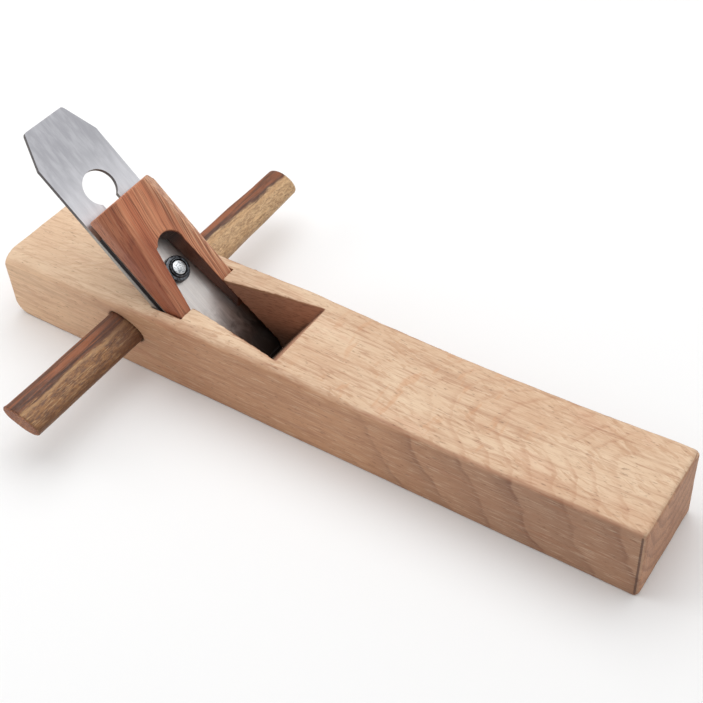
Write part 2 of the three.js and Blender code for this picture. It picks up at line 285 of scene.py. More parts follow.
def plane_through(a, b, c, outside):
    """Distance above the plane through three points, on the side where `outside` lies."""
    a, b, c, outside = (np.array(point, float) for point in (a, b, c, outside))
    normal = np.cross(b - a, c - a)
    normal /= np.linalg.norm(normal)
    if normal @ (outside - a) < 0:
        normal = -normal
    return lambda x, y, z: normal[0] * (x - a[0]) + normal[1] * (y - a[1]) + normal[2] * (z - a[2])


def wedge_chamfer(side, width):
    """A chamfer that widens up the bed, to about `width` at the butt."""
    end = WEDGE_TOP + 4
    thick = abutment(end) - GAP
    rise = ABUTMENT_RISE - GAP
    return plane_through((-ABUTMENT_RUN, side * WEDGE_HALF, rise), (-end, side * WEDGE_HALF, rise),
                         (-end, side * (WEDGE_HALF - width), thick), (-end, side * 2 * WEDGE_HALF, thick))


def wedge_field(x, y, z):
    """The wedge in the bed's frame, forked to clear the bush."""
    up = -x
    under = 2 * GAP + BREAKER_THICK
    top = (z - abutment(up) + GAP) * math.cos(math.atan(WEDGE_SLOPE))
    nose = plane_through((-WEDGE_TIP, 0, under), (-WEDGE_TIP, 1, under),
                         (-WEDGE_TIP - 5, 0, abutment(WEDGE_TIP + 5) - GAP), (0, 0, 30))
    solid = np.maximum(top, nose(x, y, z))
    solid = rounded_max(solid, np.abs(y) - WEDGE_HALF, 0.5)
    solid = rounded_max(solid, wedge_chamfer(-1, RIGHT_CHAMFER)(x, y, z), 1)
    solid = rounded_max(solid, wedge_chamfer(1, LEFT_CHAMFER)(x, y, z), 1.2)
    solid = rounded_max(solid, under - z, 0.4)
    solid = rounded_max(solid, up - WEDGE_TOP - BUTT_SLANT * y, 0.9)
    cut_from = WEDGE_HALF - BROKEN_CORNER
    corner = plane_through((-WEDGE_TOP, cut_from, 0), (-WEDGE_TOP, cut_from, 9),
                           (-WEDGE_TOP + BROKEN_CORNER, WEDGE_HALF, 0), (-WEDGE_TOP, WEDGE_HALF, 0))
    solid = rounded_max(solid, corner(x, y, z), 2)
    solid = solid + WEDGE_UNEVEN * ripple(x, y, z, (60, 12, 12), 5) + WEDGE_UNEVEN
    hole = np.hypot(up - FORK_CENTRE, y) - FORK_RADIUS
    between_legs = np.abs(y - FORK_OFFSET) - FORK_RADIUS - FORK_STEP - FORK_TAPER * (FORK_CENTRE - up)
    sawn = rounded_max(between_legs, up - FORK_CENTRE - FORK_OVERLAP, CUT_EDGE)
    return rounded_max(solid, -np.minimum(hole, sawn), CUT_EDGE)


# ---- meshes ----


def gradient(field, points, step):
    """Direction in which the field grows, at each point."""
    slopes = []
    for axis in range(3):
        ahead, behind = points.copy(), points.copy()
        ahead[:, axis] += step
        behind[:, axis] -= step
        slopes.append((field(*ahead.T) - field(*behind.T)) / (2 * step))
    return np.stack(slopes, 1)


def crossings(values):
    """Where each grid cell's surface point lies in the cell, and whether it has one."""
    inside = values < 0
    shape = tuple(n - 1 for n in values.shape)
    total = np.zeros((*shape, 3))
    count = np.zeros(shape)
    for axis in range(3):
        lower = np.take(values, range(shape[axis]), axis)
        upper = np.take(values, range(1, shape[axis] + 1), axis)
        crossed = (lower < 0) != (upper < 0)
        with np.errstate(divide="ignore", invalid="ignore"):
            place = np.where(crossed, lower / (lower - upper), 0)
        others = [o for o in range(3) if o != axis]
        for corner in ((0, 0), (0, 1), (1, 0), (1, 1)):
            window = [slice(None)] * 3
            for other, side in zip(others, corner):
                window[other] = slice(side, side + shape[other])
            hit = crossed[tuple(window)]
            count += hit
            total[..., axis] += place[tuple(window)]
            for other, side in zip(others, corner):
                total[..., other] += side * hit
    return inside, total, count


def quads(inside, number):
    """One quad round each grid edge that the surface crosses, facing out."""
    faces = []
    for axis in range(3):
        one, two = [o for o in range(3) if o != axis]
        lower = np.take(inside, range(inside.shape[axis] - 1), axis)
        upper = np.take(inside, range(1, inside.shape[axis]), axis)
        places = np.argwhere(lower != upper)
        places = places[(places[:, one] > 0) & (places[:, two] > 0)]
        places = places[(places[:, one] < number.shape[one]) & (places[:, two] < number.shape[two])]
        corners = []
        for a, b in ((1, 1), (0, 1), (0, 0), (1, 0)):
            cell = places.copy()
            cell[:, one] -= a
            cell[:, two] -= b
            corners.append(number[tuple(cell.T)])
        quad = np.stack(corners, 1)
        outward = lower[tuple(places.T)]
        if axis == 1:
            outward = ~outward
        quad[~outward] = quad[~outward][:, ::-1]
        faces.append(quad)
    return np.concatenate(faces)


QUAD_EDGES = ((0, 1), (1, 2), (2, 3), (3, 0), (1, 0), (2, 1), (3, 2), (0, 3))


def edge_wear_and_corner_shade(points, normals, faces, cell):
    """How convex the surface is at each point: positive on edges for wear, negative in corners for painted
    shade.
    """
    around = np.zeros_like(points)
    count = np.zeros(len(points))
    for a, b in QUAD_EDGES:
        np.add.at(around, faces[:, a], points[faces[:, b]])
        np.add.at(count, faces[:, a], 1)
    bend = -((around / count[:, None] - points) * normals).sum(1) / cell
    for _ in range(2):  # each round spreads the value to the neighbours
        total = bend.copy()
        weight = np.ones(len(points))
        for a, b in QUAD_EDGES:
            np.add.at(total, faces[:, a], bend[faces[:, b]])
            np.add.at(weight, faces[:, a], 1)
        bend = total / weight
    return bend


def carved(name, field, low, high, cell, frame_matrix=Matrix.Identity(4)):
    """A closed mesh of a field's zero surface, with its exact normals, and its edges and corners marked for
    wear and painted corner shade.
    """
    axes = [np.arange(a - 2 * cell, b + 3 * cell, cell) for a, b in zip(low, high)]
    inside, total, count = crossings(field(*np.meshgrid(*axes, indexing="ij")))
    cells = np.argwhere(count > 0)
    number = np.full(count.shape, -1)
    number[tuple(cells.T)] = np.arange(len(cells))
    offsets = total[tuple(cells.T)] / count[tuple(cells.T)][:, None]
    points = (cells + offsets) * cell + [axis[0] for axis in axes]
    for _ in range(3):  # each round pulls the points nearer to the surface
        slope = gradient(field, points, cell / 8)
        steepness = np.maximum((slope ** 2).sum(1), 0.2)
        move = (field(*points.T) / steepness)[:, None] * slope
        points = points - np.clip(move, -cell / 3, cell / 3)
    normals = gradient(field, points, cell / 4)
    normals /= np.maximum(np.linalg.norm(normals, axis=1), 1e-6)[:, None]
    turn = np.array(frame_matrix.to_3x3()).T
    points = points @ turn + np.array(frame_matrix.translation) / MM
    normals = normals @ turn
    faces = quads(inside, number)
    mesh = bpy.data.meshes.new(name)
    mesh.from_pydata((points * MM).tolist(), [], faces.tolist())
    mesh.shade_smooth()
    mesh.normals_split_custom_set_from_vertices(normals.tolist())
    wear_and_corner_shade = mesh.attributes.new("wear_and_corner_shade", "FLOAT", "POINT")
    wear_and_corner_shade.data.foreach_set("value", edge_wear_and_corner_shade(points, normals, faces, cell))
    return placed(name, mesh)


def placed(name, data):
    """A new object at the origin. A piece stays there, as its place is in its mesh."""
    thing = bpy.data.objects.new(name, data)
    bpy.context.scene.collection.objects.link(thing)
    return thing


def arc(centre, radius, start, end, steps):
    """Points on a circle in two dimensions, angles in degrees."""
    angles = np.radians(np.linspace(start, end, steps + 1))
    return [(centre[0] + radius * math.cos(a), centre[1] + radius * math.sin(a)) for a in angles]


CORNER_STEPS = 4


def softened(corners, radius):
    """A polygon with its corners rounded, CORNER_STEPS + 1 points to each."""
    outline = []
    for i, corner in enumerate(corners):
        corner = Vector(corner)
        before = (Vector(corners[i - 1]) - corner).normalized()
        after = (Vector(corners[(i + 1) % len(corners)]) - corner).normalized()
        half = before.angle(after) / 2
        centre = corner + (before + after).normalized() * radius / math.sin(half)
        start, end = corner + before * radius / math.tan(half), corner + after * radius / math.tan(half)
        for step in range(CORNER_STEPS + 1):
            toward = start.lerp(end, step / CORNER_STEPS) - centre
            outline.append(tuple(centre + toward.normalized() * radius))
    return outline


def prism(loops, low, high, across=False):
    """A plate from an outline and its holes. `across` stands the outline in x and z, and extrudes in y."""
    shape = bmesh.new()
    edges = []
    for loop in loops:
        ring = [shape.verts.new((u, low, v) if across else (u, v, low)) for u, v in loop]
        edges += [shape.edges.new((ring[i - 1], ring[i])) for i in range(len(ring))]
    bmesh.ops.triangle_fill(shape, edges=edges, use_beauty=True)
    extruded = bmesh.ops.extrude_face_region(shape, geom=shape.faces[:])["geom"]
    away = Vector((0, high - low, 0) if across else (0, 0, high - low))
    bmesh.ops.translate(shape, verts=[v for v in extruded if isinstance(v, bmesh.types.BMVert)], vec=away)
    bmesh.ops.recalc_face_normals(shape, faces=shape.faces[:])
    return shape


def finished(name, shape, frame_matrix=Matrix.Identity(4)):
    """Turns a shape in millimetres, in the given frame, into an object."""
    bmesh.ops.scale(shape, vec=(MM, MM, MM), verts=shape.verts[:])
    bmesh.ops.transform(shape, matrix=frame_matrix, verts=shape.verts[:])
    mesh = bpy.data.meshes.new(name)
    shape.to_mesh(mesh)
    shape.free()
    return placed(name, mesh)


def at_screw(name, shape):
    """An object from a shape about the z axis, moved to the screw's place on the bed."""
    bmesh.ops.translate(shape, verts=shape.verts[:], vec=(-SCREW_PLACE, 0, 0))
    return finished(name, shape, BED_FRAME)


def eased(thing, width, segments=3):
    """Rounds the sharp edges a little and shades the rest smooth."""
    bevel = thing.modifiers.new("eased_edges", "BEVEL")
    bevel.limit_method = "ANGLE"
    bevel.angle_limit = math.radians(35)
    bevel.width = width * MM
    bevel.segments = segments
    bevel.harden_normals = True
    thing.data.shade_smooth()
    return thing


def lathe(profile, segments, shift=None):
    """A solid turned about the z axis, from radius and height pairs. `shift` moves points in or out."""
    shape = bmesh.new()
    rings = []
    for radius, height in profile:
        if radius == 0:
            rings.append([shape.verts.new((0, 0, height))] * segments)
            continue
        ring = []
        for i in range(segments):
            angle = 2 * math.pi * i / segments
            wide = radius + (shift(radius, height, angle) if shift else 0)
            ring.append(shape.verts.new((wide * math.cos(angle), wide * math.sin(angle), height)))
        rings.append(ring)
    if profile[0][0] != 0:
        rings.append(rings[0])
    for lower, upper in zip(rings, rings[1:]):
        for i in range(segments):
            j = (i + 1) % segments
            corners = list(dict.fromkeys((lower[i], lower[j], upper[j], upper[i])))
            if len(corners) > 2:
                shape.faces.new(corners)
    bmesh.ops.recalc_face_normals(shape, faces=shape.faces[:])
    return shape


def minus(thing, cutter):
    """Cuts one object out of another."""
    cut = thing.modifiers.new("cut", "BOOLEAN")
    cut.operation = "DIFFERENCE"
    cut.solver = "EXACT"
    cut.object = cutter
    depsgraph = bpy.context.evaluated_depsgraph_get()
    mesh = bpy.data.meshes.new_from_object(thing.evaluated_get(depsgraph))
    thing.modifiers.clear()
    thing.data = mesh
    bpy.data.objects.remove(cutter)
    return thing


# ---- pieces ----


def make_stock():
    return carved("stock_wood", stock_field, STOCK_LOW, STOCK_HIGH, STOCK_CELL)


def make_handle():
    return carved("handle_stick", handle_field, HANDLE_LOW, HANDLE_HIGH, HANDLE_CELL)


def make_wedge():
    low = (-WEDGE_TOP - 2, -WEDGE_HALF, 0)
    high = (-WEDGE_TIP, WEDGE_HALF, abutment(WEDGE_TOP))
    return carved("forked_wedge", wedge_field, low, high, WEDGE_CELL, BED_FRAME)


def make_iron():
    """A keyhole plate, ground at its foot from below."""
    outline = [(-IRON_EDGE, -IRON_HALF), (-IRON_EDGE, IRON_HALF)]
    crown = [(-IRON_SHOULDER, IRON_HALF), (-IRON_TOP, IRON_CROWN_HALF), (-IRON_TOP, -IRON_CROWN_HALF),
             (-IRON_SHOULDER, -IRON_HALF), (-IRON_SHOULDER / 2, 0)]
    outline += softened(crown, IRON_CORNER)[:-CORNER_STEPS - 1]  # the last corner only aims the sides
    meet = math.degrees(math.asin(KEY_SLOT_HALF / KEYHOLE_RADIUS))
    keyhole = arc((-KEYHOLE_CENTRE, 0), KEYHOLE_RADIUS, meet, 360 - meet, 64)
    keyhole += arc((-KEY_SLOT_END - KEY_SLOT_HALF, 0), KEY_SLOT_HALF, -90, 90, 32)
    shape = prism([outline, keyhole], -IRON_THICK, 0)
    for vert in shape.verts:
        if vert.co.x > -IRON_EDGE - 0.01 and vert.co.z < -IRON_THICK / 2:
            vert.co.x -= IRON_THICK / math.tan(GRIND_ANGLE)
    return eased(finished("blade", shape, BED_FRAME), 0.22)


def make_breaker():
    """A plate that curves down to its edge, drilled for the bush's spigot."""
    top = GAP + BREAKER_THICK
    hump = [(-BREAKER_EDGE - HUMP_LENGTH * t ** 1.6, GAP + BREAKER_THICK * (1 - (1 - t) ** 2.2))
            for t in np.linspace(0, 1, 15)]
    side = [(-BREAKER_TOP, GAP)] + hump + [(-BREAKER_TOP, top)]
    shape = prism([side], -BREAKER_HALF, BREAKER_HALF, across=True)
    plate = finished("breaker_plate", shape, BED_FRAME)
    hole = SPIGOT_RADIUS + GAP
    drill = lathe([(0, -1), (hole, -1), (hole, top + 1), (0, top + 1)], TURNED_SEGMENTS)
    return eased(minus(plate, at_screw("drill", drill)), 0.25)


def make_bush():
    """Turned, from the bore's lower end, up the stepped outside, and back to the bore."""
    seat = 2 * GAP + BREAKER_THICK
    bore = SHANK_RADIUS + GAP
    step = BUSH_TOP - 1.2
    profile = [(bore, GAP), (SPIGOT_RADIUS, GAP), (SPIGOT_RADIUS, seat), (BUSH_RADIUS, seat),
               (BUSH_RADIUS, step - 1), (BUSH_RADIUS - 0.3, step - 0.3), (BUSH_RADIUS - 1, step),
               (BUSH_RADIUS - 1.7, step), (BUSH_RADIUS - 1.9, step + 0.15),
               (BUSH_RADIUS - 2.1, BUSH_TOP - 0.35), (BUSH_RADIUS - 2.4, BUSH_TOP - 0.08),
               (BUSH_RADIUS - 2.8, BUSH_TOP), (bore + 0.35, BUSH_TOP), (bore, BUSH_TOP - 0.35)]
    return eased(at_screw("bush", lathe(profile, 96)), 0.12, 2)


def screw_thread(radius, height, angle):
    """How far the surface lies from the shank's radius: the thread is cut into it."""
    if abs(radius - SHANK_RADIUS) > 0.01:
        return 0
    turn = (height / THREAD_PITCH - angle / (2 * math.pi)) % 1
    return -THREAD_DEPTH * abs(2 * turn - 1)


def make_screw():
    """Turned, from the middle of the head under the iron to the middle of the tip."""
    seat = -IRON_THICK - GAP
    bottom = seat - HEAD_THICK
    tip = BUSH_TOP + SCREW_PROUD
    shank = [(SHANK_RADIUS, height) for height in np.arange(seat + 0.2, tip - 0.6, THREAD_PITCH / 8)]
    profile = [(0, bottom), (HEAD_RADIUS - 1.2, bottom), (HEAD_RADIUS - 0.4, bottom + 0.25),
               (HEAD_RADIUS, bottom + 0.9), (HEAD_RADIUS, seat - 0.3), (HEAD_RADIUS - 0.3, seat),
               (SHANK_RADIUS, seat)] + shank
    profile += [(SHANK_RADIUS - 0.2, tip - 0.5), (SHANK_RADIUS - 0.7, tip - 0.12),
                (SHANK_RADIUS - 1, tip), (0, tip)]
    screw = at_screw("screw", lathe(profile, TURNED_SEGMENTS, screw_thread))
    slot_end = HEAD_RADIUS + 1
    drive = [(-DRIVE_HALF, -slot_end), (DRIVE_HALF, -slot_end),
             (DRIVE_HALF, slot_end), (-DRIVE_HALF, slot_end)]
    slot = prism([drive], bottom - 1, bottom + DRIVE_DEPTH)
    screw = minus(screw, at_screw("slot", slot))
    screw.data.shade_smooth()
    screw.data.set_sharp_from_angle(angle=math.radians(40))
    return screw


# ---- materials ----

OUT_OF_BED = (math.sin(BED_ANGLE), 0, math.cos(BED_ANGLE))


class Shade:
    """A material under construction. Each method adds a node and returns its output."""

    def __init__(self, name):
        self.material = bpy.data.materials.new(name)
        self.material.use_nodes = True
        self.nodes = self.material.node_tree.nodes
        self.links = self.material.node_tree.links
        self.shader = self.nodes["Principled BSDF"]
        place = self.nodes.new("ShaderNodeTexCoord").outputs["Object"]
        self.place = self.vector("SCALE", place, scale=1 / MM)

    def turn_to_bed(self):
        """From here on, the coordinates are those of the bed's frame."""
        cos, sin = math.cos(BED_ANGLE), math.sin(BED_ANGLE)
        place = self.vector("SUBTRACT", self.place, (IRON_FOOT, 0, 0))
        directions = (cos, 0, -sin), (0, 1, 0), (sin, 0, cos)
        self.place = self.joined(*[self.vector("DOT_PRODUCT", place, direction) for direction in directions])

    def feed(self, socket, value):
        if isinstance(value, bpy.types.NodeSocket):
            self.links.new(value, socket)
        elif hasattr(socket.default_value, "__len__") and not hasattr(value, "__len__"):
            socket.default_value = [value] * len(socket.default_value)
        elif hasattr(value, "__len__") and len(value) == 3 and len(socket.default_value) == 4:
            socket.default_value = (*value, 1)
        else:
            socket.default_value = value

    def vector(self, operation, a, b=None, scale=None):
        node = self.nodes.new("ShaderNodeVectorMath")
        node.operation = operation
        self.feed(node.inputs[0], a)
        if b is not None:
            self.feed(node.inputs[1], b)
        if scale is not None:
            self.feed(node.inputs["Scale"], scale)
        return node.outputs["Value" if operation in ("LENGTH", "DOT_PRODUCT") else "Vector"]

    def axes(self):
        node = self.nodes.new("ShaderNodeSeparateXYZ")
        self.feed(node.inputs[0], self.place)
        return node.outputs

    def joined(self, x, y, z):
        node = self.nodes.new("ShaderNodeCombineXYZ")
        for socket, value in zip(node.inputs, (x, y, z)):
            self.feed(socket, value)
        return node.outputs[0]

    def facing(self, direction):
        """How squarely the surface faces a direction: 1 towards it, -1 away from it."""
        normal = self.nodes.new("ShaderNodeNewGeometry").outputs["Normal"]
        return self.vector("DOT_PRODUCT", normal, direction)

    def math(self, operation, a, b=0.0, c=0.0):
        node = self.nodes.new("ShaderNodeMath")
        node.operation = operation
        for socket, value in zip(node.inputs, (a, b, c)):
            self.feed(socket, value)
        return node.outputs[0]

    def times(self, *values):
        product = values[0]
        for value in values[1:]:
            product = self.math("MULTIPLY", product, value)
        return product

    def between(self, value, low, high, to_low=0.0, to_high=1.0):
        """Value carried smoothly from one range to another, held at its ends."""
        node = self.nodes.new("ShaderNodeMapRange")
        node.interpolation_type = "SMOOTHSTEP"
        self.feed(node.inputs["Value"], value)
        for socket, number in zip(("From Min", "From Max", "To Min", "To Max"), (low, high, to_low, to_high)):
            self.feed(node.inputs[socket], number)
        return node.outputs["Result"]

    def noise(self, lengths, detail=3.0, roughness=0.5, distortion=0.0, place=None, shift=0.0):
        """Noise from 0 to 1, with a size in millimetres along each axis."""
        place = self.vector("DIVIDE", self.place if place is None else place, lengths)
        node = self.nodes.new("ShaderNodeTexNoise")
        self.feed(node.inputs["Vector"], self.vector("ADD", place, shift))
        self.feed(node.inputs["Scale"], 1.0)
        self.feed(node.inputs["Detail"], detail)
        self.feed(node.inputs["Roughness"], roughness)
        self.feed(node.inputs["Distortion"], distortion)
        return node.outputs["Fac"]

    def mix(self, amount, a, b):
        node = self.nodes.new("ShaderNodeMix")
        node.data_type = "RGBA"
        self.feed(node.inputs["Factor"], amount)
        self.feed(node.inputs[6], a)
        self.feed(node.inputs[7], b)
        return node.outputs[2]

    def wear_and_corner_shade(self):
        node = self.nodes.new("ShaderNodeAttribute")
        node.attribute_name = "wear_and_corner_shade"
        return node.outputs["Fac"]

    def bump(self, height, distance):
        """Relief of that many millimetres, on top of any set before."""
        node = self.nodes.new("ShaderNodeBump")
        self.feed(node.inputs["Height"], height)
        self.feed(node.inputs["Distance"], distance * MM)
        if self.shader.inputs["Normal"].links:
            self.links.new(self.shader.inputs["Normal"].links[0].from_socket, node.inputs["Normal"])
        self.links.new(node.outputs["Normal"], self.shader.inputs["Normal"])

    def set(self, **inputs):
        for name, value in inputs.items():
            self.feed(self.shader.inputs[name.replace("_", " ").title()], value)


def srgb(red, green, blue):
    """A colour given as it looks on a screen, from 11 to 255."""
    return tuple(((c / 255 + 0.055) / 1.055) ** 2.4 for c in (red, green, blue))


TOP_RING_SPACING = 14
SIDE_RING_SPACING = 33
END_RING_SPACING = 8


def growth_rings(wood, ring, spacing, start=0.45):
    """Lines that darken slowly and stop sharply, as growth rings do."""
    step = wood.math("FRACT", wood.math("DIVIDE", ring, spacing))
    return wood.times(wood.between(step, start, 0.92), wood.between(step, 1.0, 0.93))


def stock_material():
    """Pale wood with growth rings, flecks and pores, redder in the throat, and browner at the toe partly as
    painted shade; painted shade also deep in the throat and in corners, and painted light at the heel.
    """
    wood = Shade("stock_wood")
    x, y, z = wood.axes()
    side = wood.between(wood.math("ABSOLUTE", wood.facing((0, 1, 0))), 0.3, 0.97)
    flat_top = wood.between(wood.facing((0, 0, 1)), 0.6, 0.9)

    # base tones: pale top, and sides that turn browner towards the toe, partly the wood's tone and partly
    # painted shade, and paler at the heel as painted light
    tone = wood.noise((55, 26, 30), 3, shift=3)
    color = wood.mix(wood.between(tone, 0.3, 0.7), srgb(208, 172, 140), srgb(222, 193, 162))
    blush = wood.between(wood.noise((38, 16, 20), 3, 0.6, shift=17), 0.55, 0.72, 0, 0.5)
    color = wood.mix(blush, color, srgb(214, 172, 142))
    heel_part = wood.between(x, -195, -110)
    side_tone_and_shade = wood.mix(heel_part, srgb(230, 189, 150), srgb(194, 146, 110))
    side_tone_and_shade = wood.mix(wood.between(x, 20, 150), side_tone_and_shade, srgb(168, 129, 102))
    side_tone_and_shade = wood.mix(wood.between(tone, 0.3, 0.7, 0.35, 0), side_tone_and_shade, srgb(168, 122, 90))
    color = wood.mix(side, color, side_tone_and_shade)

    # growth rings, cones about a line just above the top that sweep from the heel to the toe
    warp = wood.math("MULTIPLY_ADD", wood.noise((50, 24, 24), 4, 0.55), 26, -13)
    radius = wood.vector("LENGTH", wood.joined(0, wood.math("SUBTRACT", y, 5), wood.math("SUBTRACT", z, 52)))
    lean = wood.between(x, 40, 200, -1.3, -0.7)
    ring = wood.math("ADD", wood.math("MULTIPLY_ADD", radius, lean, x), warp)
    patches = wood.between(wood.noise((40, 30, 30), 2, shift=7), 0.35, 0.62)
    fine_rings = growth_rings(wood, ring, TOP_RING_SPACING, 0.6)
    fine_rings = wood.times(fine_rings, wood.between(x, 30, 120, 0.06, 0.45), patches, flat_top)
    color = wood.mix(fine_rings, color, srgb(186, 138, 106))
    uneven = wood.between(wood.noise((45, 30, 30), 2, shift=8), 0.38, 0.6, 0.35, 1)
    side_rings = wood.times(wood.between(x, 20, 120, 0.03, 1), side, uneven)
    ring_body = growth_rings(wood, ring, SIDE_RING_SPACING, 0.3)
    color = wood.mix(wood.times(ring_body, side_rings, 0.5), color, srgb(122, 86, 66))
    ring_edge = growth_rings(wood, ring, SIDE_RING_SPACING, 0.82)
    color = wood.mix(wood.times(ring_edge, side_rings, 0.5), color, srgb(122, 76, 56))

    # straight grain along the stock
    streak = wood.noise((80, 3, 3), 4, 0.6, 0.3, shift=1)
    color = wood.mix(wood.between(streak, 0.5, 0.68, 0, 0.42), color, srgb(168, 120, 90))
    band = wood.between(wood.noise((75, 2.4, 2.4), 3, 0.6, 0.2, shift=33), 0.48, 0.62)
    color = wood.mix(wood.times(band, side, 0.24), color, srgb(150, 106, 78))
    rusty = wood.times(wood.between(wood.noise((34, 5, 5), 4, 0.65, 0.8, shift=35), 0.47, 0.64),
                       side, wood.between(x, -40, -90, 0, 0.5))
    color = wood.mix(rusty, color, srgb(176, 116, 84))
    line = wood.between(wood.noise((26, 1.9, 1.9), 3, 0.55, 0.5, shift=6), 0.57, 0.64)
    color = wood.mix(wood.times(line, 0.42), color, srgb(164, 112, 82))
    fibre = wood.noise((12, 0.85, 0.85), 3, 0.65, shift=2)
    color = wood.mix(wood.between(fibre, 0.52, 0.72, 0, 0.3), color, srgb(150, 106, 80))
    color = wood.mix(wood.between(fibre, 0.48, 0.32, 0, 0.25), color, srgb(236, 212, 182))

    # short flecks on the top, slanting one way at the heel and the other way at the toe
    bow = wood.math("MULTIPLY_ADD", wood.math("MULTIPLY", x, x), 0.00115, y)
    bent = wood.joined(x, bow, z)
    fleck_zone = wood.times(flat_top, wood.between(wood.noise((30, 22, 22), 2, shift=19), 0.4, 0.6, 0.25, 1))
    fleck = wood.between(wood.noise((9, 2.1, 6), 2, 0.55, 0.5, place=bent, shift=4), 0.53, 0.61)
    color = wood.mix(wood.times(fleck, fleck_zone, 0.5), color, srgb(184, 138, 104))
    gleam = wood.between(wood.noise((11, 2.4, 6), 2, 0.5, 0.5, place=bent, shift=9), 0.54, 0.66)
    color = wood.mix(wood.times(gleam, fleck_zone, 0.3), color, srgb(236, 212, 182))
    blotch = wood.times(wood.between(wood.noise((6, 17, 17), 2, shift=18), 0.58, 0.7), flat_top,
                        wood.between(x, -20, 30), wood.between(x, 150, 110))
    color = wood.mix(wood.times(blotch, 0.4), color, srgb(204, 150, 110))
    near_part = wood.times(flat_top, wood.between(y, -12, -26), wood.between(x, 40, 130))
    color = wood.mix(wood.times(near_part, 0.3), color, srgb(192, 146, 112))
    edge_line = wood.between(wood.facing((0, -0.66, 0.75)), 0.9, 0.99)
    edge_line = wood.times(edge_line, wood.between(x, -60, 60), wood.between(streak, 0.35, 0.6, 0.3, 1))
    color = wood.mix(wood.times(edge_line, 0.5), color, srgb(164, 108, 80))
    # paler towards the heel: painted light
    color = wood.mix(wood.between(x, -70, -150, 0, 0.3), color, srgb(242, 212, 178))
    pore = wood.between(wood.noise((4, 0.7, 0.7), 2, 0.5, shift=5), 0.65, 0.72)
    color = wood.mix(wood.times(pore, 0.45), color, srgb(122, 82, 58))

    # redder wood in the throat, darker low down as painted shade, and browner end grain
    inside = wood.times(wood.between(wood.math("ABSOLUTE", y), SLOT_HALF + 0.3, SLOT_HALF - 0.1),
                        wood.between(z, THROAT_TOP + 0.5, THROAT_TOP - 1.5), wood.between(z, 0.3, 1),
                        wood.between(x, -112, -108), wood.between(x, THROAT_FRONT + 1.9, THROAT_FRONT - 0.6))
    inside = wood.times(inside, wood.between(wood.facing((0, 0, 1)), 0.9, 0.7))
    throat_tone_and_shade = wood.mix(wood.between(z, 8, 30), srgb(72, 50, 42), srgb(190, 138, 112))
    color = wood.mix(wood.times(inside, 0.75), color, throat_tone_and_shade)
    color = wood.mix(wood.times(inside, wood.between(fibre, 0.46, 0.66), 0.35), color, srgb(92, 58, 44))
    end = wood.between(wood.math("ABSOLUTE", wood.facing((1, 0, 0))), 0.6, 0.9)
    end_rings = growth_rings(wood, wood.math("MULTIPLY_ADD", warp, 0.6, radius), END_RING_SPACING)
    end_tone = wood.mix(wood.noise((9, 9, 26), 3, shift=28), srgb(204, 152, 116), srgb(154, 104, 76))
    end_tone = wood.mix(wood.times(end_rings, 0.45), end_tone, srgb(128, 82, 60))
    end_pore = wood.between(wood.noise((0.8, 0.8, 1.6), 2, 0.6, shift=27), 0.52, 0.66)
    end_tone = wood.mix(wood.times(end_pore, 0.5), end_tone, srgb(112, 72, 52))
    color = wood.mix(wood.times(end, wood.between(wood.math("ABSOLUTE", x), 190, 196), 0.9), color, end_tone)

    # a dark line down the toe's right corner, handled edges, and painted shade in concave corners
    corner = wood.times(wood.between(wood.facing((0.38, -0.92, 0)), 0.96, 0.985), wood.between(x, 190, 196))
    color = wood.mix(wood.times(corner, 0.75), color, srgb(84, 54, 42))
    color = wood.mix(wood.between(wood.wear_and_corner_shade(), 0.06, 0.22, 0, 0.45), color, srgb(154, 104, 78))
    color = wood.mix(wood.between(wood.wear_and_corner_shade(), -0.03, -0.2, 0, 0.7), color, srgb(70, 44, 32))
    wood.set(base_color=color, roughness=wood.between(fibre, 0.2, 0.8, 0.55, 0.72))
    wood.bump(fibre, 0.05)
    wood.bump(pore, -0.1)
    wood.bump(streak, 0.06)
    return wood.material


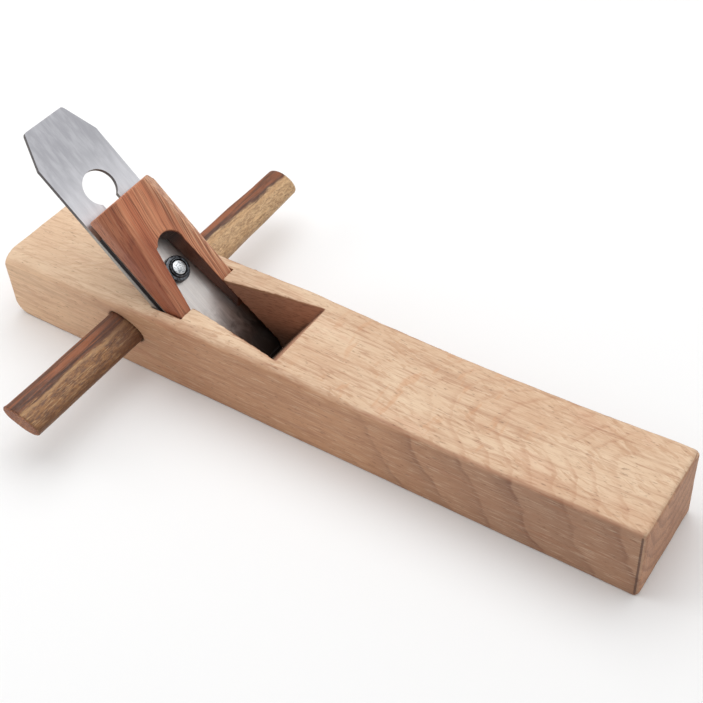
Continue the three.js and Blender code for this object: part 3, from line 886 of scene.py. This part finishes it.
def wedge_material():
    """Red straight-grained wood, paler on the left chamfer as painted light and darker on the right leg, with
    painted shade on the right-facing side, in corners, in the fork and low down.
    """
    wood = Shade("wedge_wood")
    wood.turn_to_bed()
    x, y, z = wood.axes()
    drift = wood.math("MULTIPLY_ADD", wood.noise((60, 25, 25), 2, shift=11), 6, -3)
    slant = wood.math("ADD", wood.math("ADD", y, drift), wood.math("MULTIPLY", x, 0.07))
    leaning = wood.joined(x, slant, wood.math("MULTIPLY_ADD", x, WEDGE_SLOPE, z))
    tone = wood.between(wood.noise((120, 9, 9), 3, place=leaning, shift=12), 0.25, 0.75)
    color = wood.mix(tone, srgb(192, 114, 78), srgb(220, 154, 114))
    line = wood.noise((140, 0.9, 0.9), 2, 0.6, 0.1, place=leaning, shift=13)
    color = wood.mix(wood.between(line, 0.5, 0.66, 0, 0.5), color, srgb(118, 60, 40))
    color = wood.mix(wood.between(line, 0.47, 0.34, 0, 0.5), color, srgb(224, 168, 128))
    stripe = wood.between(wood.noise((260, 0.7, 0.7), 2, 0.5, place=leaning, shift=16), 0.5, 0.6)
    stripe_zone = wood.times(wood.between(y, 4, 12), wood.between(y, 24, 19), 0.6)
    color = wood.mix(wood.times(stripe, stripe_zone), color, srgb(96, 50, 36))
    fibre = wood.noise((34, 0.45, 0.45), 2, 0.55, place=leaning, shift=14)
    color = wood.mix(wood.between(fibre, 0.52, 0.72, 0, 0.6), color, srgb(96, 50, 34))
    # paler left part and chamfer: painted light, with the grain in it
    left_light_zone = wood.between(wood.math("MULTIPLY_ADD", x, -0.12, y), 20, 28)
    left_lit_tone = wood.mix(wood.between(line, 0.4, 0.6), srgb(226, 182, 144), srgb(168, 108, 76))
    color = wood.mix(wood.times(left_light_zone, 0.65), color, left_lit_tone)

    # right-facing side redder and darker as painted shade, a redder right leg, pale edges, and painted shade
    # in corners, in the fork's hole and low down
    right_face_shade = wood.between(wood.facing((0, -1, 0)), 0.3, 0.6)
    color = wood.mix(wood.times(right_face_shade, 0.5), color, srgb(130, 58, 34))
    near_leg = wood.times(wood.between(x, -112, -92), wood.between(y, -4, -12))
    color = wood.mix(wood.times(near_leg, 0.5), color, srgb(134, 62, 38))
    color = wood.mix(wood.between(wood.wear_and_corner_shade(), 0.05, 0.2, 0, 0.5), color, srgb(206, 148, 116))
    color = wood.mix(wood.between(wood.wear_and_corner_shade(), -0.03, -0.2, 0, 0.7), color, srgb(50, 26, 20))
    # dark wall of the fork's hole: painted shade
    hole_end = -FORK_CENTRE - FORK_RADIUS
    hole_wall_shade = wood.times(wood.between(wood.math("ABSOLUTE", y), 17, 15), wood.between(z, 17.4, 15),
                           wood.between(wood.facing(OUT_OF_BED), 0.8, 0.5),
                           wood.between(x, hole_end - 3.8, hole_end - 0.8))
    color = wood.mix(wood.times(hole_wall_shade, 0.7), color, srgb(70, 38, 28))
    round_part = wood.between(x, 3 - FORK_CENTRE, -FORK_CENTRE - 5)
    color = wood.mix(wood.times(hole_wall_shade, round_part, 0.8), color, srgb(34, 20, 16))
    # darker low down the bed: painted shade
    deep = wood.between(wood.math("MULTIPLY", x, -1), 58, 40)
    color = wood.mix(wood.times(deep, 0.8), color, srgb(66, 36, 26))
    pore = wood.between(wood.noise((26, 0.4, 0.4), 2, 0.55, place=leaning, shift=15), 0.58, 0.68)
    color = wood.mix(wood.times(pore, 0.6), color, srgb(78, 40, 28))
    wood.set(base_color=color, roughness=wood.between(fibre, 0.2, 0.8, 0.4, 0.6))
    wood.bump(line, 0.1)
    wood.bump(fibre, 0.06)
    wood.bump(pore, -0.1)
    return wood.material


def handle_material():
    """Mottled sapwood, with reddish heartwood along the upper edge, and painted shade along the lower edge
    and where it enters the stock.
    """
    wood = Shade("handle_wood")
    x, y, z = wood.axes()
    wander = wood.math("MULTIPLY_ADD", wood.noise((14, 60, 14), 3, shift=21), 8, -4)
    across = wood.math("MULTIPLY", wood.math("SUBTRACT", x, HANDLE_X), math.cos(HANDLE_TILT))
    wide = wood.math("MULTIPLY_ADD", wood.math("SUBTRACT", z, HANDLE_Z), math.sin(HANDLE_TILT), across)
    ragged = wood.math("MULTIPLY_ADD", wood.noise((2.5, 14, 2.5), 3, 0.6, shift=29), 5, -2.5)
    wide = wood.math("ADD", wood.math("ADD", wide, wander), ragged)
    far_part = wood.between(y, -20, 40)

    # mottled sapwood, paler on the left part
    mottle = wood.between(wood.noise((1.2, 4.5, 1.2), 4, 0.7, 0.5, shift=22), 0.34, 0.66)
    sap = wood.mix(mottle, srgb(104, 66, 40), srgb(162, 116, 74))
    sap = wood.mix(wood.times(far_part, 0.75), sap, wood.mix(mottle, srgb(178, 140, 98), srgb(228, 194, 150)))
    spot = wood.between(wood.noise((0.6, 1.7, 0.6), 3, 0.6, 0.4, shift=23), 0.54, 0.66)
    sap = wood.mix(wood.times(spot, 0.45), sap, srgb(104, 68, 40))
    gloss_fibre = wood.between(wood.noise((0.7, 9, 0.7), 2, 0.6, 0.3, shift=32), 0.54, 0.68)
    sap = wood.mix(wood.times(gloss_fibre, 0.45), sap, srgb(218, 178, 130))
    # darker lower edge: painted shade
    low_edge_shade = wood.times(wood.between(wide, 6, 12.5), wood.between(far_part, 0, 1, 0.7, 0.3))
    sap = wood.mix(low_edge_shade, sap, srgb(98, 62, 38))

    # reddish heartwood along the upper edge, with a dark line where the two meet
    vein = wood.noise((2.2, 60, 2.2), 4, 0.65, 0.3, shift=24)
    red = wood.mix(wood.between(vein, 0.38, 0.62), srgb(148, 84, 46), srgb(82, 47, 27))
    heart = wood.between(wide, -2.4, -4.2)
    color = wood.mix(heart, sap, red)
    broken = wood.between(wood.noise((3, 22, 3), 3, 0.6, shift=30), 0.35, 0.6, 0.35, 1)
    boundary = wood.times(heart, wood.between(wide, -5.4, -3.9), broken,
                          wood.between(far_part, 0, 1, 0.75, 0.5))
    color = wood.mix(boundary, color, srgb(62, 38, 28))
    pale_line = wood.times(wood.between(wide, -2.6, -1.8), wood.between(wide, 1.2, -1), 0.5)
    color = wood.mix(pale_line, color, srgb(200, 156, 108))
    line = wood.between(wood.noise((1.2, 70, 1.2), 3, 0.6, 0.2, shift=25), 0.53, 0.66)
    color = wood.mix(wood.times(line, wood.between(wide, 0, -3), 0.6), color, srgb(78, 48, 32))

    # painted shade where the handle enters the stock's right side, end grain, and wear
    by_stock_shade = wood.times(wood.between(y, RIGHT_SIDE - 26, RIGHT_SIDE - 4),
                          wood.between(y, RIGHT_SIDE + 4, RIGHT_SIDE))
    color = wood.mix(wood.times(by_stock_shade, 0.6), color, srgb(92, 56, 38))
    ends = wood.between(wood.math("ABSOLUTE", wood.facing((0, 1, 0))), 0.6, 0.9)
    grain = wood.between(wood.noise((1.1, 3, 0.8), 3, 0.6, 0.8, shift=26), 0.35, 0.65)
    color = wood.mix(wood.times(ends, 0.85), color, wood.mix(grain, srgb(110, 58, 36), srgb(182, 118, 78)))
    color = wood.mix(wood.between(wood.wear_and_corner_shade(), 0.06, 0.25, 0, 0.4), color, srgb(88, 54, 38))
    wood.set(base_color=color, roughness=wood.between(mottle, 0, 1, 0.4, 0.6))
    wood.bump(line, -0.12)
    wood.bump(spot, -0.08)
    wood.bump(vein, 0.1)
    return wood.material


def plate_material(name, light, dark, side, rough, shift):
    """Ground steel with fine scratches along the bed, pale painted highlights, a painted reflection darker
    towards the top, dull narrow sides, and painted shade with oil low down.
    """
    steel = Shade(name)
    steel.turn_to_bed()
    up = steel.math("MULTIPLY", steel.axes()[0], -1)
    scratch = steel.noise((70, 0.2, 0.2), 2, 0.6, shift=shift)
    brush = steel.noise((50, 3, 3), 4, 0.6, 0.2, shift=shift + 1)
    cloud = steel.noise((16, 10, 10), 4, 0.6, shift=shift + 2)
    color = steel.mix(steel.between(brush, 0.35, 0.65, 0, 0.3), light, dark)
    color = steel.mix(steel.between(cloud, 0.45, 0.7, 0, 0.3), color, dark)
    color = steel.mix(steel.between(scratch, 0.5, 0.7, 0, 0.3), color, dark)
    # darker towards the top of the bed: painted reflection
    color = steel.mix(steel.between(up, 118, 165, 0, 0.9), color, srgb(150, 150, 155))
    # pale blotches: painted highlights
    blotch = steel.noise((14, 3.5, 8), 4, 0.6, 0.3, shift=shift + 4)
    color = steel.mix(steel.between(blotch, 0.38, 0.72, 0, 0.2), color, srgb(226, 226, 230))
    # darker and less metallic low down the bed: painted shade, with oily blotches
    oil_and_shade_noise = steel.noise((9, 5, 5), 3, 0.6, 1.0, shift=shift + 3)
    low = steel.math("ADD", steel.math("MULTIPLY", oil_and_shade_noise, 30), up)
    color = steel.mix(steel.between(low, 66, 30, 0, 0.9), color, srgb(58, 48, 44))
    oil_and_shade = steel.between(low, 34, 24)
    color = steel.mix(oil_and_shade, color, srgb(44, 37, 34))
    # narrow sides: duller and in their own colour; the breaker's dark side colour is painted shade
    edge_on = steel.between(steel.math("ABSOLUTE", steel.facing(OUT_OF_BED)), 0.75, 0.35)
    color = steel.mix(edge_on, color, steel.mix(steel.between(up, 132, 112), srgb(108, 104, 104), side))
    roughness = steel.between(scratch, 0.3, 0.7, rough - 0.05, rough + 0.07)
    roughness = steel.math("ADD", roughness, steel.math("MULTIPLY", edge_on, 0.25))
    steel.set(base_color=color, metallic=steel.math("SUBTRACT", 1, oil_and_shade), roughness=roughness)
    steel.bump(scratch, 0.01)
    steel.bump(brush, 0.02)
    return steel.material


def blackened_material():
    steel = Shade("blackened_steel")
    cloud = steel.noise((1.8, 1.8, 1.8), 4, 0.6, shift=41)
    color = steel.mix(steel.between(cloud, 0.35, 0.7), srgb(50, 52, 56), srgb(128, 132, 138))
    steel.set(base_color=color, metallic=0.85, roughness=steel.between(cloud, 0.3, 0.7, 0.24, 0.4))
    steel.bump(cloud, 0.015)
    return steel.material


def bright_material():
    steel = Shade("bright_steel")
    smear = steel.noise((1.3, 1.3, 1.3), 3, 0.6, 1.5, shift=51)
    color = steel.mix(steel.between(smear, 0.42, 0.62), srgb(244, 246, 248), srgb(156, 162, 168))
    color = steel.mix(steel.between(steel.facing(OUT_OF_BED), 0.95, 0.85), color, srgb(60, 60, 64))
    steel.set(base_color=color, metallic=1.0, roughness=steel.between(smear, 0.3, 0.7, 0.22, 0.4))
    steel.bump(smear, 0.1)
    return steel.material


# ---- assembly ----


def add_piece(thing, body, node, material):
    """Puts a piece on its body in place of its CAD node."""
    thing.data.materials.clear()
    thing.data.materials.append(material)
    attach(thing, body)
    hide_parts(node)


iron_steel = plate_material("iron_steel", light=srgb(206, 206, 210), dark=srgb(166, 166, 172),
                            side=srgb(176, 172, 166), rough=0.36, shift=31)
# the breaker's dark side colour is painted shade
breaker_steel = plate_material("breaker_steel", light=srgb(232, 226, 222), dark=srgb(186, 180, 176),
                               side=srgb(50, 46, 46), rough=0.38, shift=35)

add_piece(make_stock(), "stock", "stock", stock_material())
add_piece(make_handle(), "handle", "cross_handle", handle_material())
add_piece(make_iron(), "iron", "iron", iron_steel)
add_piece(make_breaker(), "breaker", "chip_breaker", breaker_steel)
add_piece(make_bush(), "breaker", "threaded_bush", blackened_material())
add_piece(make_screw(), "screw", "cap_screw", bright_material())
add_piece(make_wedge(), "wedge", "wedge", wedge_material())

# ---- stage, light and camera, in metres ----

FLOOR_SIZE = 6.0
CAMERA_AZIMUTH = math.radians(36.517)
CAMERA_ELEVATION = math.radians(43.938)
CAMERA_ROLL = math.radians(-4.348)
CAMERA_DISTANCE = 0.7125
CAMERA_TARGET = Vector((0.00496, 0.02402, 0.02021))
CAMERA_LENS = 66.995


def make_floor():
    shape = bmesh.new()
    bmesh.ops.create_grid(shape, x_segments=1, y_segments=1, size=FLOOR_SIZE / 2)
    mesh = bpy.data.meshes.new("floor")
    shape.to_mesh(mesh)
    shape.free()
    floor = placed("floor", mesh)
    pale = Shade("pale_floor")
    pale.set(base_color=(0.9, 0.9, 0.9), roughness=0.9)
    mesh.materials.append(pale.material)


def add_light(name, place, target, size, watts):
    light = bpy.data.lights.new(name, "AREA")
    light.shape = "DISK"
    light.size = size
    light.energy = watts
    lamp = placed(name, light)
    lamp.location = place
    lamp.rotation_euler = (Vector(place) - Vector(target)).to_track_quat("Z", "Y").to_euler()


def make_world(strength):
    world = bpy.data.worlds.new("studio")
    world.use_nodes = True
    background = world.node_tree.nodes["Background"]
    background.inputs["Color"].default_value = (1, 1, 1, 1)
    background.inputs["Strength"].default_value = strength
    bpy.context.scene.world = world


def make_camera():
    level = math.cos(CAMERA_ELEVATION)
    back = Vector((math.sin(CAMERA_AZIMUTH) * level, -math.cos(CAMERA_AZIMUTH) * level,
                   math.sin(CAMERA_ELEVATION)))
    right = (-back).cross(Vector((0, 0, 1))).normalized()
    up = right.cross(-back)
    cos, sin = math.cos(CAMERA_ROLL), math.sin(CAMERA_ROLL)
    across, above = right * cos + up * sin, up * cos - right * sin
    data = bpy.data.cameras.new("camera")
    data.sensor_width = 36
    data.lens = CAMERA_LENS
    data.clip_start = 0.01
    camera = placed("camera", data)
    turned = Matrix((across, above, back)).transposed().to_4x4()
    camera.matrix_world = Matrix.Translation(CAMERA_TARGET + back * CAMERA_DISTANCE) @ turned
    bpy.context.scene.camera = camera


make_floor()
make_world(0.5)
add_light("key", place=(-0.45, 0.45, 1.5), target=(0, 0, 0), size=1.9, watts=15.5)
add_light("side_key", place=(0.6, 0.55, 1.3), target=(0, 0, 0), size=1.2, watts=4)
add_light("fill", place=(-1.3, -0.55, 0.7), target=(-0.15, 0, 0), size=0.9, watts=6)
make_camera()
bpy.context.scene.view_settings.view_transform = "Standard"
